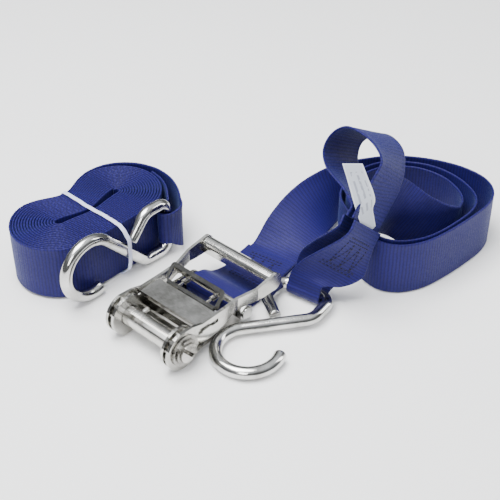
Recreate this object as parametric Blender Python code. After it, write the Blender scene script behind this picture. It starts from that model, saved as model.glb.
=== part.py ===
"""Ratchet tie down set, 38 mm webbing.

One ratchet buckle with a fixed strap (sewn hook end, soft loop, label and S-hook) lies beside one
long strap that is rolled on edge, held by a rubber band, with its own S-hook.

World frame: metres, +Z up, floor at z = 0.  The ratchet lies along X with its mandrel axis along Y,
its handle closed and the grip towards +X.  All lengths below are millimetres unless noted.
"""
import math

import bpy
from mathutils import Vector
from mathutils.geometry import delaunay_2d_cdt

MM = 0.001

# ---------------------------------------------------------------- driving dimensions
LAYOUT_SHIFT = (-1.5, 4.36, -0.06)   # centres the whole set over the origin and sets it on z = 0

WEB_WIDTH = 38.0
WEB_THICK = 1.4
LABEL_WIDTH = 13.0
FIT_GAP = 0.3                         # air left between pieces that touch in the real set

AXIS_X, AXIS_Z = -111.0, 14.0         # mandrel axis
RATCHET_Y = -23.0                     # middle plane of the ratchet

BODY_IN, BODY_OUT = 20.3, 22.3        # body side plates, distance from the middle plane
WHEEL_IN, WHEEL_OUT = 22.6, 24.6      # ratchet wheels
ARM_IN, ARM_OUT = 24.9, 26.9          # handle arms at the mandrel
FLARE = 3.6                           # how far the arms step out towards the grip
TEETH = 12
WHEEL_TIP, WHEEL_ROOT = 12.4, 9.3
WHEEL_PHASE = -26.0                   # puts a tooth gap in front of the lock pawl
SHAFT_R = 6.2                         # radius over the two mandrel halves
SHAFT_SLOT = 2.4                      # slot between the halves
SPOOL_ANGLE = 39.0                    # degrees, direction from the lower half to the upper half

BOLT_X, BOLT_Z = 54.0, 8.4            # anchor bolt, measured from the mandrel axis and the floor
SPACER_R, BOLT_R = 5.8, 3.9

WIRE_R = 4.0                          # S-hook wire
HOOK_R = 19.5                         # open bend
EYE_AT, EYE_FAR, EYE_HALF = 51.0, 66.0, 18.0

ROLL_CENTRE = (-74.0, 76.0)
ROLL_HALF = 24.0                      # half the straight length of a turn
STRAIGHT_STEPS = 8                    # pieces in each straight length
ROLL_FIRST_R = 2.2
ROLL_PITCH = 1.83
ROLL_TURNS = 16
ROLL_Z = 20.3                         # middle height of the roll
BAND_X = -75.5
BAND_PINCH = 0.125                    # share of the roll's depth that the band squeezes out
BAND_CLOSE = 1.9                      # how far it also closes the slit in the middle
BAND_REACH = 16.0                     # how far along the roll the squeeze is felt

# ---------------------------------------------------------------- materials


def material(name, colour, roughness, metallic):
    mat = bpy.data.materials.new(name)
    mat.use_nodes = True
    shader = mat.node_tree.nodes["Principled BSDF"]
    shader.inputs["Base Color"].default_value = (*colour, 1.0)
    shader.inputs["Roughness"].default_value = roughness
    shader.inputs["Metallic"].default_value = metallic
    return mat


def steel(name, shade=0.62, roughness=0.22):
    return material(name, (shade, shade * 0.99, shade * 0.96), roughness, 1.0)


def webbing(name):
    return material(name, (0.025, 0.035, 0.26), 0.75, 0.0)


# ---------------------------------------------------------------- mesh helpers


def shifted(point):
    return (Vector(point) + Vector(LAYOUT_SHIFT)) * MM


def make(name, points, faces, mat, pivot=(0.0, 0.0, 0.0), smooth=()):
    """One object from layout points in millimetres; its origin is put at pivot."""
    origin = shifted(pivot)
    mesh = bpy.data.meshes.new(name)
    mesh.from_pydata([tuple(shifted(p) - origin) for p in points], [], faces)
    mesh.materials.append(mat)
    for index in smooth:
        mesh.polygons[index].use_smooth = True
    mesh.validate()
    obj = bpy.data.objects.new(name, mesh)
    obj.location = origin
    bpy.context.scene.collection.objects.link(obj)
    return obj


def inside(point, loop):
    hit = False
    for (ax, ay), (bx, by) in zip(loop, loop[1:] + loop[:1]):
        if (ay > point[1]) != (by > point[1]):
            if point[0] < ax + (point[1] - ay) / (by - ay) * (bx - ax):
                hit = not hit
    return hit


def area(loop):
    return 0.5 * sum(a[0] * b[1] - b[0] * a[1] for a, b in zip(loop, loop[1:] + loop[:1]))


def plate(name, outline, holes, mat, lower, upper, pivot=(0.0, 0.0, 0.0), creases=()):
    """Plate with holes.  outline and holes are loops of (u, v); lower and upper map a loop point to
    the two faces of the plate.  u, v and the lower-to-upper direction are right-handed.  creases
    are pairs of loop points between which the plate is bent."""
    loops = [outline if area(outline) > 0 else outline[::-1]]
    loops += [hole if area(hole) < 0 else hole[::-1] for hole in holes]
    flat, edges = [], []
    for loop in loops:
        start = len(flat)
        flat += loop
        edges += [(start + i, start + (i + 1) % len(loop)) for i in range(len(loop))]
    bends = [(flat.index(a), flat.index(b)) for a, b in creases]
    _, _, tris, _, _, _ = delaunay_2d_cdt([Vector(p) for p in flat], edges + bends, [], 1, 1e-7)
    kept = []
    for tri in tris:
        middle = (sum(flat[i][0] for i in tri) / 3, sum(flat[i][1] for i in tri) / 3)
        if not any(inside(middle, loop) for loop in loops[1:]):
            kept.append(tuple(tri) if area([flat[i] for i in tri]) > 0 else tuple(tri)[::-1])
    count = len(flat)
    points = [lower(*p) for p in flat] + [upper(*p) for p in flat]
    faces = [tri[::-1] for tri in kept] + [tuple(i + count for i in tri) for tri in kept]
    faces += [(a, b, b + count, a + count) for a, b in edges]
    return make(name, points, faces, mat, pivot)


def side_plate(name, outline, holes, mat, y_a, y_b, pivot=(0.0, 0.0, 0.0), creases=()):
    """Plate drawn in the ratchet's own x-z plane and spread across from y_a to y_b; both may be
    numbers or functions of x.  x is measured from the mandrel axis, z from the floor."""
    def at(y):
        return y if callable(y) else lambda x: y
    near, far = at(y_a), at(y_b)
    return plate(name, outline, holes, mat,
                 lambda x, z: (AXIS_X + x, RATCHET_Y + far(x), z),
                 lambda x, z: (AXIS_X + x, RATCHET_Y + near(x), z), pivot, creases)


def arc(cx, cz, radius, start, end, steps):
    return [(cx + radius * math.cos(math.radians(start + (end - start) * i / steps)),
             cz + radius * math.sin(math.radians(start + (end - start) * i / steps)))
            for i in range(steps + 1)]


def circle(cx, cz, radius, steps):
    return arc(cx, cz, radius, 0.0, 360.0 - 360.0 / steps, steps - 1)


def rectangle(x_a, z_a, x_b, z_b):
    return [(x_a, z_a), (x_b, z_a), (x_b, z_b), (x_a, z_b)]


def boolean(target, tool, operation):
    tool.hide_render = True
    tool.display_type = "WIRE"
    step = target.modifiers.new(tool.name, "BOOLEAN")
    step.operation = operation
    step.solver = "EXACT"
    step.object = tool


def smooth_path(stations, spacing):
    """Catmull-Rom curve through rows of numbers whose first three are a point."""
    rows = [list(map(float, s)) for s in stations]
    result = []
    for i in range(len(rows) - 1):
        before = rows[i - 1] if i else [2 * a - b for a, b in zip(rows[0], rows[1])]
        after = rows[i + 2] if i + 2 < len(rows) else [2 * a - b for a, b in zip(rows[-1], rows[-2])]
        a, b = rows[i], rows[i + 1]
        steps = max(1, round(math.dist(a[:3], b[:3]) / spacing))
        for k in range(steps):
            t = k / steps
            result.append([0.5 * (2 * q + (r - p) * t + (2 * p - 5 * q + 4 * r - s) * t * t
                                  + (3 * q - p - 3 * r + s) * t ** 3)
                           for p, q, r, s in zip(before, a, b, after)])
    result.append(rows[-1])
    return result


def ribbon(name, stations, mat, spacing=5.0, thick=WEB_THICK, curved=True, skewed=False):
    """Flat band.  A station is x, y, z, width direction (3 numbers), width.

    The width direction is turned square to the path unless the band is skewed.
    """
    rows = smooth_path(stations, spacing) if curved else [list(s) for s in stations]
    points, faces = [], []
    for i, row in enumerate(rows):
        here = Vector(row[:3])
        ahead = Vector(rows[min(i + 1, len(rows) - 1)][:3]) - Vector(rows[max(i - 1, 0)][:3])
        ahead.normalize()
        across = Vector(row[3:6])
        if not skewed:
            across -= across.dot(ahead) * ahead
        across.normalize()
        normal = ahead.cross(across).normalized()
        for a, n in ((-1, -1), (1, -1), (1, 1), (-1, 1)):
            points.append(here + across * (a * row[6] / 2) + normal * (n * thick / 2))
    for i in range(len(rows) - 1):
        for k in range(4):
            a, b = 4 * i + k, 4 * i + (k + 1) % 4
            # both broad sides are cut along the same diagonal, so a twisted band keeps its thickness
            if k == 2:
                faces += [(a, b, a + 4), (b, b + 4, a + 4)]
            else:
                faces += [(a, b, b + 4), (a, b + 4, a + 4)]
    last = 4 * (len(rows) - 1)
    faces += [(3, 2, 1, 0), (last, last + 1, last + 2, last + 3)]
    return make(name, points, faces, mat, smooth=range(len(faces) - 2))


def tube(name, path, radius, sides, mat, pivot=(0.0, 0.0, 0.0), plane=(0.0, 0.0, 1.0), closed=False):
    """Round wire along a path that lies near one plane (its normal given)."""
    rows = [Vector(p) for p in path]
    count = len(rows)
    up = Vector(plane).normalized()
    points, faces = [], []
    for i, here in enumerate(rows):
        if closed:
            ahead = rows[(i + 1) % count] - rows[i - 1]
        else:
            ahead = rows[min(i + 1, count - 1)] - rows[max(i - 1, 0)]
        ahead.normalize()
        side = up.cross(ahead).normalized()
        rise = ahead.cross(side)
        for k in range(sides):
            turn = 2 * math.pi * k / sides
            points.append(here + radius * (math.cos(turn) * side + math.sin(turn) * rise))
    for i in range(count if closed else count - 1):
        for k in range(sides):
            a, b = sides * i + k, sides * i + (k + 1) % sides
            c = (sides * (i + 1)) % (sides * count)
            faces.append((a, b, c + (k + 1) % sides, c + k))
    if not closed:
        last = sides * (count - 1)
        faces += [tuple(range(sides - 1, -1, -1)), tuple(range(last, last + sides))]
        return make(name, points, faces, mat, pivot, range(len(faces) - 2))
    return make(name, points, faces, mat, pivot, range(len(faces)))


def coil_spring(name, start, length, radius, wire, turns, mat, pivot):
    """Compression spring along +X."""
    path = []
    steps = int(turns * 10)
    for i in range(steps + 1):
        turn = 2 * math.pi * turns * i / steps
        path.append(Vector((start[0] + length * i / steps, start[1] + radius * math.cos(turn),
                            start[2] + radius * math.sin(turn))))
    return tube(name, path, wire, 6, mat, pivot, (1.0, 0.0, 0.0))


# ---------------------------------------------------------------- ratchet

HINGE = (AXIS_X, RATCHET_Y, AXIS_Z)
LEFT, RIGHT = 1, -1                   # sides of the ratchet, seen from the mandrel towards the grip


def base_frame():
    """Pressed U-shaped body: two side plates with cam lobes joined by a floor plate."""
    steel_body = steel("body_steel", 0.60, 0.24)
    outline = arc(0, AXIS_Z, 13.2, 12, 232, 20)            # cam lobe
    outline += [(-6.0, 0.8), (BOLT_X + 4.5, 0.8)]
    outline += arc(BOLT_X, BOLT_Z, 7.2, -60, 90, 10)
    outline += [(31.0, 16.6), (17.0, 16.8)]
    holes = [circle(0, AXIS_Z, SHAFT_R + 0.5, 28), circle(BOLT_X, BOLT_Z, BOLT_R + 0.4, 20),
             rectangle(10.4, 6.9, 30.6, 11.3)]
    body = side_plate("base_frame", outline, holes, steel_body, BODY_IN, BODY_OUT)
    other = side_plate("base_frame_second_side", outline, holes, steel_body, -BODY_OUT, -BODY_IN)
    floor = side_plate("base_frame_floor", rectangle(16.0, 0.8, 40.0, 2.8), [], steel_body,
                       -BODY_IN - 1.0, BODY_IN + 1.0)
    tab = side_plate("base_frame_spring_tab", rectangle(36.4, 2.0, 38.4, 12.5), [], steel_body, -14.0, 14.0)
    boolean(body, floor, "UNION")
    boolean(body, tab, "UNION")
    boolean(body, other, "UNION")


def arm_side(sign, outer):
    """Distance of an arm face from the middle plane; the arm steps out towards the grip."""
    def y(x):
        step = min(max((x - 46.0) / 14.0, 0.0), 1.0)
        return sign * ((ARM_OUT if outer else ARM_IN) + FLARE * step)
    return y


def handle():
    """Handle frame: two arms and the flat cross plate between them, and the grip bar."""
    steel_handle = steel("handle_steel", 0.66, 0.18)
    outline = arc(0, AXIS_Z, 13.4, 100, 318, 20)
    outline += [(18.0, 9.5), (30.0, 10.5), (44.0, 16.4), (46.0, 16.8), (60.0, 16.8), (66.0, 16.2)]
    outline += arc(75.5, 22.0, 6.2, -110, 80, 10)
    outline += [(60.0, 25.6), (46.0, 24.6), (34.0, 24.0), (16.0, 24.0), (8.0, 26.4)]
    holes = [circle(0, AXIS_Z, SHAFT_R + 0.5, 28), rectangle(11.8, 17.7, 28.6, 20.5)]
    arms = []
    for sign, label in ((LEFT, "handle_frame"), (RIGHT, "handle_frame_second_arm")):
        sides = (arm_side(sign, False), arm_side(sign, True))
        near, far = sides if sign > 0 else sides[::-1]
        arms.append(side_plate(label, outline, holes, steel_handle, near, far, HINGE,
                               [((46.0, 16.8), (46.0, 24.6)), ((60.0, 16.8), (60.0, 25.6))]))
    cross = side_plate("handle_frame_cross_plate",
                       [(13.0, 21.0), (29.0, 21.0), (29.0, 23.0), (13.0, 23.0)], [], steel_handle,
                       -ARM_IN - 1.0, ARM_IN + 1.0, HINGE)
    rear = side_plate("handle_frame_rear_rod", circle(45.5, 20.6, 2.0, 16), [], steel_handle,
                      -ARM_IN - 1.0, ARM_IN + 1.0, HINGE)
    boolean(arms[0], cross, "UNION")
    boolean(arms[0], rear, "UNION")
    boolean(arms[0], arms[1], "UNION")

    # rolled channel, open below: outer arch, then the inner arch back
    section = [(71.0, 18.6)] + arc(76.0, 22.4, 5.0, 180, 0, 14) + [(81.0, 18.6), (79.3, 18.6)]
    section += arc(76.0, 22.4, 3.3, 0, 180, 10) + [(72.7, 18.6)]
    reach = ARM_IN + FLARE - FIT_GAP
    side_plate("grip_bar", section, [], steel("grip_steel", 0.70, 0.16), -reach, reach, HINGE)


def drive_pawl():
    """Release trigger: plate with ears that reach the wheels, bent up into an open pull frame."""
    steel_pawl = steel("pawl_steel", 0.68, 0.18)
    pivot = (AXIS_X + 20.0, RATCHET_Y, 19.1)
    # drawn flat: u runs across, v along the plate
    right_side = [(28.2, 14.2), (28.2, 21.8), (20.0, 21.8), (20.0, 30.0), (20.0, 33.0), (22.6, 35.4)]
    right_side += arc(20.0, 42.6, 2.6, 0, 90, 5)
    outline = right_side + [(-u, v) for u, v in right_side[::-1]]
    window = rectangle(-20.0, 34.0, 20.0, 42.6)

    def face(offset):
        def point(u, v):
            bend = max(v - 30.0, 0.0)
            x = min(v, 30.0) + bend * 0.66
            return (AXIS_X + x, RATCHET_Y - u, 19.1 + bend * 0.75 + offset)
        return point
    pawl = plate("drive_pawl", outline, [window], steel_pawl, face(-1.0), face(1.0), pivot,
                 [((-20.0, 30.0), (20.0, 30.0))])
    for sign, side in ((LEFT, "left"), (RIGHT, "right")):
        pin = plate("drive_pawl_pin_" + side, circle(0, 0, 0.9, 12), [], steel_pawl,
                    lambda u, v: (AXIS_X + 32.0, RATCHET_Y + sign * 12.0 + u, 21.0 + v),
                    lambda u, v: (AXIS_X + 39.2, RATCHET_Y + sign * 12.0 + u, 21.0 + v), pivot)
        boolean(pawl, pin, "UNION")


def lock_pawl():
    """Sliding lock in the body; its ears sit in the tooth gaps of both wheels."""
    outline = [(-24.5, 11.9), (-22.7, 11.9), (-20.9, 15.6), (20.9, 15.6), (22.7, 11.9),
               (24.5, 11.9), (24.5, 22.0), (14.0, 24.4), (-14.0, 24.4), (-24.5, 22.0)]
    plate("lock_pawl", outline, [], steel("lock_steel", 0.55, 0.28),
          lambda u, v: (AXIS_X + v, RATCHET_Y - u, 8.1),
          lambda u, v: (AXIS_X + v, RATCHET_Y - u, 10.1), (AXIS_X + 20.0, RATCHET_Y, 9.1))


def springs():
    spring_steel = steel("spring_steel", 0.45, 0.35)
    for sign, side in ((LEFT, "left"), (RIGHT, "right")):
        coil_spring("drive_spring_" + side, (AXIS_X + 38.0, RATCHET_Y + sign * 12.0, 21.0), 4.8, 1.6,
                    0.35, 4, spring_steel, HINGE)
        coil_spring("lock_spring_" + side, (AXIS_X + 29.0, RATCHET_Y + sign * 8.0, 9.1), 6.8, 2.0,
                    0.4, 5, spring_steel, (0.0, 0.0, 0.0))


def spool():
    """Two mandrel halves, the two ratchet wheels keyed to them, washers and retaining rings."""
    steel_wheel = steel("wheel_steel", 0.50, 0.30)
    steel_shaft = steel("shaft_steel", 0.62, 0.22)
    angle = math.radians(SPOOL_ANGLE)
    apart = (math.cos(angle), math.sin(angle))
    along = (-math.sin(angle), math.cos(angle))

    def turned(loop):
        return [(p * along[0] + q * apart[0], AXIS_Z + p * along[1] + q * apart[1])
                for p, q in loop]

    half_slot = SHAFT_SLOT / 2
    open_angle = math.degrees(math.asin(half_slot / SHAFT_R))
    for sign, label in ((1, "upper"), (-1, "lower")):
        segment = arc(0, 0, SHAFT_R, open_angle, 180 - open_angle, 18)
        segment = [(p, sign * q) for p, q in segment]
        side_plate("mandrel_half_" + label, turned(segment), [], steel_shaft, -31.2, 31.2, HINGE)

    wheel = []
    for k in range(TEETH):
        base = 360.0 / TEETH * k + WHEEL_PHASE
        for radius, turn in ((WHEEL_ROOT, 0.0), (WHEEL_TIP, 2.0), (WHEEL_TIP, 7.0), (WHEEL_ROOT + 0.4, 19.0),
                             (WHEEL_ROOT, 24.0)):
            a = math.radians(base + turn)
            wheel.append((radius * math.cos(a), AXIS_Z + radius * math.sin(a)))
    key = half_slot - FIT_GAP
    hole_r = SHAFT_R + FIT_GAP
    key_angle = math.degrees(math.asin(key / hole_r))
    key_holes = []
    for sign in (1, -1):
        segment = arc(0, 0, hole_r, key_angle, 180 - key_angle, 18)
        key_holes.append(turned([(p, sign * q) for p, q in segment]))
    for sign, side in ((LEFT, "left"), (RIGHT, "right")):
        a, b = sorted((sign * WHEEL_IN, sign * WHEEL_OUT))
        side_plate("ratchet_wheel_" + side, wheel, key_holes, steel_wheel, a, b, HINGE)
        a, b = sorted((sign * (ARM_OUT + FIT_GAP), sign * (ARM_OUT + FIT_GAP + 1.2)))
        side_plate("mandrel_washer_" + side, circle(0, AXIS_Z, 10.2, 32),
                   [circle(0, AXIS_Z, SHAFT_R + FIT_GAP, 28)], steel_wheel, a, b, HINGE)
        a, b = sorted((sign * (ARM_OUT + 1.8), sign * (ARM_OUT + 2.9)))
        gap_turn = SPOOL_ANGLE + 90.0
        ring = arc(0, AXIS_Z, SHAFT_R + 2.0, gap_turn + 20, gap_turn + 340, 26)
        ring += arc(0, AXIS_Z, SHAFT_R + FIT_GAP, gap_turn + 340, gap_turn + 20, 26)
        side_plate("retaining_ring_" + side, ring, [], steel("ring_steel_" + side, 0.4, 0.3), a, b, HINGE)




def anchor():
    """Bolt, nut and spacer tube that hold the sewn loop of the fixed strap."""
    zinc = steel("bolt_steel", 0.58, 0.28)
    hexagon = [(BOLT_X + 5.6 * math.cos(math.radians(60 * k + 30)),
                BOLT_Z + 5.6 * math.sin(math.radians(60 * k + 30))) for k in range(6)]
    head = side_plate("anchor_bolt", hexagon, [], zinc, BODY_OUT + FIT_GAP, BODY_OUT + 3.6)
    shank = side_plate("anchor_bolt_shank", circle(BOLT_X, BOLT_Z, BOLT_R, 24), [], zinc,
                       -BODY_OUT - 5.0, BODY_OUT + 1.0)
    boolean(head, shank, "UNION")
    side_plate("anchor_nut", hexagon, [circle(BOLT_X, BOLT_Z, BOLT_R + FIT_GAP, 24)], zinc,
               -BODY_OUT - 3.8, -BODY_OUT - FIT_GAP)
    side_plate("anchor_spacer", circle(BOLT_X, BOLT_Z, SPACER_R, 28),
               [circle(BOLT_X, BOLT_Z, BOLT_R + FIT_GAP, 24)], zinc, -BODY_IN + 0.4, BODY_IN - 0.4)


# ---------------------------------------------------------------- S-hooks


def fillet(corner, before, after, radius, steps):
    """Arc that rounds a corner of a path."""
    c, a, b = Vector(corner), Vector(before), Vector(after)
    u, v = (a - c).normalized(), (b - c).normalized()
    half = math.acos(max(-1.0, min(1.0, u.dot(v)))) / 2
    start, end = c + u * (radius / math.tan(half)), c + v * (radius / math.tan(half))
    centre = c + (u + v).normalized() * (radius / math.sin(half))
    first, last = start - centre, end - centre
    sweep = math.atan2(first.x * last.y - first.y * last.x, first.dot(last))
    result = []
    for i in range(steps + 1):
        t = sweep * i / steps
        result.append((centre.x + first.x * math.cos(t) - first.y * math.sin(t),
                       centre.y + first.x * math.sin(t) + first.y * math.cos(t)))
    return result


def hook_path():
    """Centre line of an S-hook: a runs from the open bend to the eye, b across."""
    lean = math.degrees(math.asin((HOOK_R + 17.0) / EYE_AT))
    touch = 90.0 - lean
    path = arc(0, 0, HOOK_R, -68, -(360 - touch), 26)
    slope = -math.tan(math.radians(lean))
    a0, b0 = path[-1]
    corner = (a0 + (-EYE_HALF - b0) / slope, -EYE_HALF)
    tip = (34.2, 2.9)
    corners = [corner, (EYE_FAR, -EYE_HALF), (EYE_FAR, EYE_HALF), (47.0, EYE_HALF)]
    chain = [path[-1]] + corners + [tip]
    for i, (radius, steps) in enumerate(((11.0, 5), (7.0, 7), (7.0, 7), (11.0, 5)), start=1):
        path += fillet(chain[i], chain[i - 1], chain[i + 1], radius, steps)
    return path + [tip]


def s_hook(name, origin, a_dir, b_dir, pivot_a):
    a_dir, b_dir = Vector(a_dir).normalized(), Vector(b_dir).normalized()
    origin = Vector(origin)
    path = [origin + a_dir * a + b_dir * b for a, b in hook_path()]
    pivot = origin + a_dir * pivot_a
    return tube(name, path, WIRE_R, 18, steel(name + "_steel", 0.64, 0.14), pivot,
                a_dir.cross(b_dir))


HOOK_C = Vector((-78.2, -70.0, 4.55))          # open bend of the fixed strap's hook
HOOK_C_A = Vector((0.989, 0.143, 0.0272)).normalized()
HOOK_C_B = Vector((-0.1445, 0.9895, 0.0))
FOLD_C = HOOK_C + HOOK_C_A * EYE_FAR           # middle of the eye's far side
HOOK_A = Vector((-104.5, 39.6, 24.0))          # open bend of the roll's hook
HOOK_A_A = Vector((1.0, 0.0, -0.02)).normalized()
HOOK_A_B = Vector((0.02, 0.0, 1.0)).normalized()
FOLD_A = HOOK_A + HOOK_A_A * EYE_FAR

# ---------------------------------------------------------------- fixed strap

# middle line of the sewn hook end, from the eye up to the cut end: point and width direction
SEWN_LINE = [
    (tuple(FOLD_C), (0.145, -0.99, 0.0)),
    ((-8.6, -61.2, 14.5), (0.15, -0.98, -0.08)),
    ((-5.5, -67.0, 21.0), (0.34, -0.88, -0.34)),
    ((-1.6, -75.5, 29.0), (0.58, -0.62, -0.53)),
    ((1.4, -82.8, 39.5), (0.71, -0.22, -0.66)),
    ((5.1, -87.0, 48.9), (0.74, 0.0, -0.673)),
    ((11.2, -87.0, 55.6), (0.74, 0.0, -0.673)),
    ((16.9, -87.0, 61.8), (0.74, 0.0, -0.673)),
]
# distance of each layer behind the front one where all are sewn together; the label is at 1.2
STACK = {"loop_front": 2.4, "strap": 4.4, "loop_back": 6.4, "back": 8.4}
FOLD_R = WIRE_R + 2 * FIT_GAP + WEB_THICK / 2


def sewn_layer(offsets, widths, indices):
    """Stations on one layer of the sewn end; offsets are measured towards the back (+Y side)."""
    stations = []
    for i, offset, width in zip(indices, offsets, widths):
        here, across = Vector(SEWN_LINE[i][0]), Vector(SEWN_LINE[i][1])
        ahead = (Vector(SEWN_LINE[min(i + 1, 7)][0]) - Vector(SEWN_LINE[max(i - 1, 0)][0])).normalized()
        across.normalize()
        back = ahead.cross(across).normalized()
        stations.append((*(here + back * offset), *across, width))
    return stations


def short_strap():
    """Fixed strap: sewn round the anchor bolt, run out, coiled loosely on edge, sewn into the end."""
    bx, w = AXIS_X + BOLT_X, WEB_WIDTH
    turn_r = SPACER_R + FIT_GAP + WEB_THICK / 2
    path = []

    def add(x, y, z, across, width=w):
        path.append((x, y, z, *across, width))

    flat = (0.0, -1.0, 0.0)
    # cut end of the sewn anchor loop, back to the bolt
    for x, y, z in ((3.4, -16.6, 3.2), (-12.0, -19.0, 3.2), (-27.0, -21.4, 3.3),
                    (-40.0, -22.6, 7.2), (-48.5, -23.0, 13.0)):
        add(x, y, z, flat)
    for turn in range(75, 272, 28):
        a = math.radians(turn)
        add(bx + turn_r * math.cos(a), RATCHET_Y, BOLT_Z + turn_r * math.sin(a), flat)
    # lower layer and the run to the coil, rising on edge
    for x, y, z, across in (
            (-46.0, -23.0, 1.15, flat), (-30.0, -22.0, 1.15, flat), (-14.0, -19.5, 1.15, flat),
            (1.0, -17.0, 1.15, flat), (8.5, -16.2, 1.7, flat), (16.0, -15.8, 4.6, (0.02, -0.98, -0.18)),
            (26.0, -15.4, 10.2, (0.06, -0.92, -0.38)), (42.0, -15.0, 16.2, (0.08, -0.8, -0.6)),
            (60.0, -15.0, 18.8, (0.06, -0.55, -0.83)), (78.0, -16.6, 19.6, (0.02, -0.22, -0.97))):
        add(x, y, z, across)
    edge = (0.0, 0.0, -1.0)
    coil = [(96, -22.5), (111.5, -34.5), (124.5, -54), (131.5, -76), (130.5, -96), (121, -109.5),
            (106, -115.4), (85, -115.6), (62, -113.4), (44.5, -109.6), (32.0, -102.5), (25.4, -93.5),
            (24.2, -84), (28.0, -70), (38.0, -51), (45.4, -40), (55, -33.2), (74, -27.6),
            (94, -30.5), (107.5, -41), (117, -56), (120, -72), (116.4, -90), (107, -105),
            (93, -111.4), (72, -111.4), (53, -108.6), (40.5, -103.2), (32.4, -96), (28.4, -88),
            (29.0, -79), (34.5, -66), (42.5, -52), (50, -41.6), (60, -35.6), (76, -33),
            (92, -36), (103, -44.6), (111, -58), (112.4, -75), (106.5, -91), (97, -101.0)]
    for x, y in coil:
        add(x, y, 19.6, edge)
    # out of the middle of the coil, over its edges and into the sewn end, still on edge
    for x, y, z in ((85.0, -103.4, 21.0), (73.0, -99.0, 26.6), (61.5, -90.8, 35.4),
                    (51.0, -83.2, 45.2), (41.0, -81.2, 54.4), (31.0, -82.2, 58.8),
                    (24.6, -82.6, 59.4), (18.2, -82.6, 59.0), (13.0, -82.6, 57.8)):
        add(x, y, z, edge)
    return ribbon("short_strap", path, webbing("short_strap_webbing"), 5.0)


def sewn_hook_end():
    """Short band folded round the eye, both layers sewn over the strap, the loop and the label."""
    w = WEB_WIDTH
    back = STACK["back"]
    path = sewn_layer((back, back, back, back - 0.3, 7.0, 5.5), (w, w, w, w, 36.0, 30.0),
                      (6, 5, 4, 3, 2, 1))
    across = -HOOK_C_B
    for turn in range(-35, -226, -19):
        a = math.radians(turn)
        here = FOLD_C + (HOOK_C_A * math.cos(a) + Vector((0.0, 0.0, 1.0)) * math.sin(a)) * FOLD_R
        path.append((*here, *across, 24.0))
    path += sewn_layer((-7.0, -5.5, -2.5, -0.5, 0.0, 0.0), (24.0, 31.0, 37.0, w, w, w),
                       (1, 2, 3, 4, 5, 6))
    return ribbon("sewn_hook_end", path, webbing("hook_end_webbing"), 3.0, skewed=True)


def soft_loop():
    """Soft loop: one band, both ends sewn inside the hook end."""
    w = WEB_WIDTH
    path = sewn_layer((STACK["loop_front"],) * 2, (w, w), (6, 7))
    for x, y, z, across in (
            (22.4, -84.9, 69.0, (0.76, 0.0, -0.65)), (28.2, -86.2, 78.4, (0.81, 0.02, -0.59)),
            (35.1, -85.0, 87.0, (0.80, 0.08, -0.59)), (40.4, -77.0, 94.8, (0.86, 0.0, -0.51)),
            (42.2, -65.8, 98.4, (0.88, -0.03, -0.47)), (41.1, -54.6, 97.0, (0.86, -0.03, -0.51)),
            (37.3, -47.6, 90.6, (0.86, -0.02, -0.51)), (32.4, -47.2, 81.8, (0.86, -0.07, -0.51)),
            (28.4, -53.0, 74.6, (0.85, -0.10, -0.52)), (25.0, -62.4, 70.0, (0.82, -0.10, -0.56)),
            (20.8, -73.0, 67.2, (0.78, -0.12, -0.61))):
        path.append((x, y, z, *across, w))
    back = STACK["loop_back"]
    path += sewn_layer((back + 0.8, back), (w, w), (7, 6))
    return ribbon("soft_loop", path, webbing("soft_loop_webbing"), 4.5)


def label_tag():
    """Blank cloth label caught under the cut end of the sewn layers, leaning out to the front."""
    path = [(x, y, z, *across, LABEL_WIDTH) for x, y, z, across in (
        (14.9, -85.75, 48.6, (0.9, 0.0, 0.42)), (12.4, -85.8, 56.5, (0.9, 0.0, 0.42)),
        (10.3, -85.85, 64.0, (0.9, 0.0, 0.42)),
        (7.4, -87.3, 73.0, (0.88, -0.2, 0.4)), (3.8, -89.8, 83.5, (0.78, -0.5, 0.28)),
        (0.3, -91.5, 94.0, (0.7, -0.68, 0.2)), (-3.0, -92.4, 104.0, (0.7, -0.7, 0.2)))]
    return ribbon("label_tag", path, material("label_cloth", (0.72, 0.76, 0.82), 0.7, 0.0), 5.0, 0.3)


# ---------------------------------------------------------------- rolled strap


def squeezed(x, y):
    """The band draws the back of the roll in towards its front."""
    front, middle = ROLL_CENTRE[1] - 31.4, ROLL_CENTRE[1]
    near = math.exp(-((x - BAND_X) / BAND_REACH) ** 2)
    close = min(max((y - middle) / 2.0, 0.0), 1.0) * BAND_CLOSE
    return x, front + (y - front) * (1.0 - BAND_PINCH * near) - close * near


def roll_turns():
    """Wound turns from the inside out, as points of the roll's plan, ending along its back."""
    cx, cy = ROLL_CENTRE
    points = []
    caps = 10
    total = ROLL_TURNS * 2
    for half in range(total):
        side = 1 if half % 2 == 0 else -1             # right cap, then left cap
        for i in range(caps + 1):
            sweep = math.pi * i / caps
            r = ROLL_FIRST_R + ROLL_PITCH * (half + i / caps) / 2
            turn = side * math.pi / 2 - sweep
            points.append((cx + side * ROLL_HALF + r * math.cos(turn), cy + r * math.sin(turn)))
        last_x, last_y = points[-1]
        next_y = cy - side * (ROLL_FIRST_R + ROLL_PITCH * (half + 1) / 2)
        for k in range(1, STRAIGHT_STEPS):
            t = k / STRAIGHT_STEPS
            points.append((last_x - side * 2 * ROLL_HALF * t, last_y + (next_y - last_y) * t))
    return [squeezed(x, y) for x, y in points]


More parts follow.
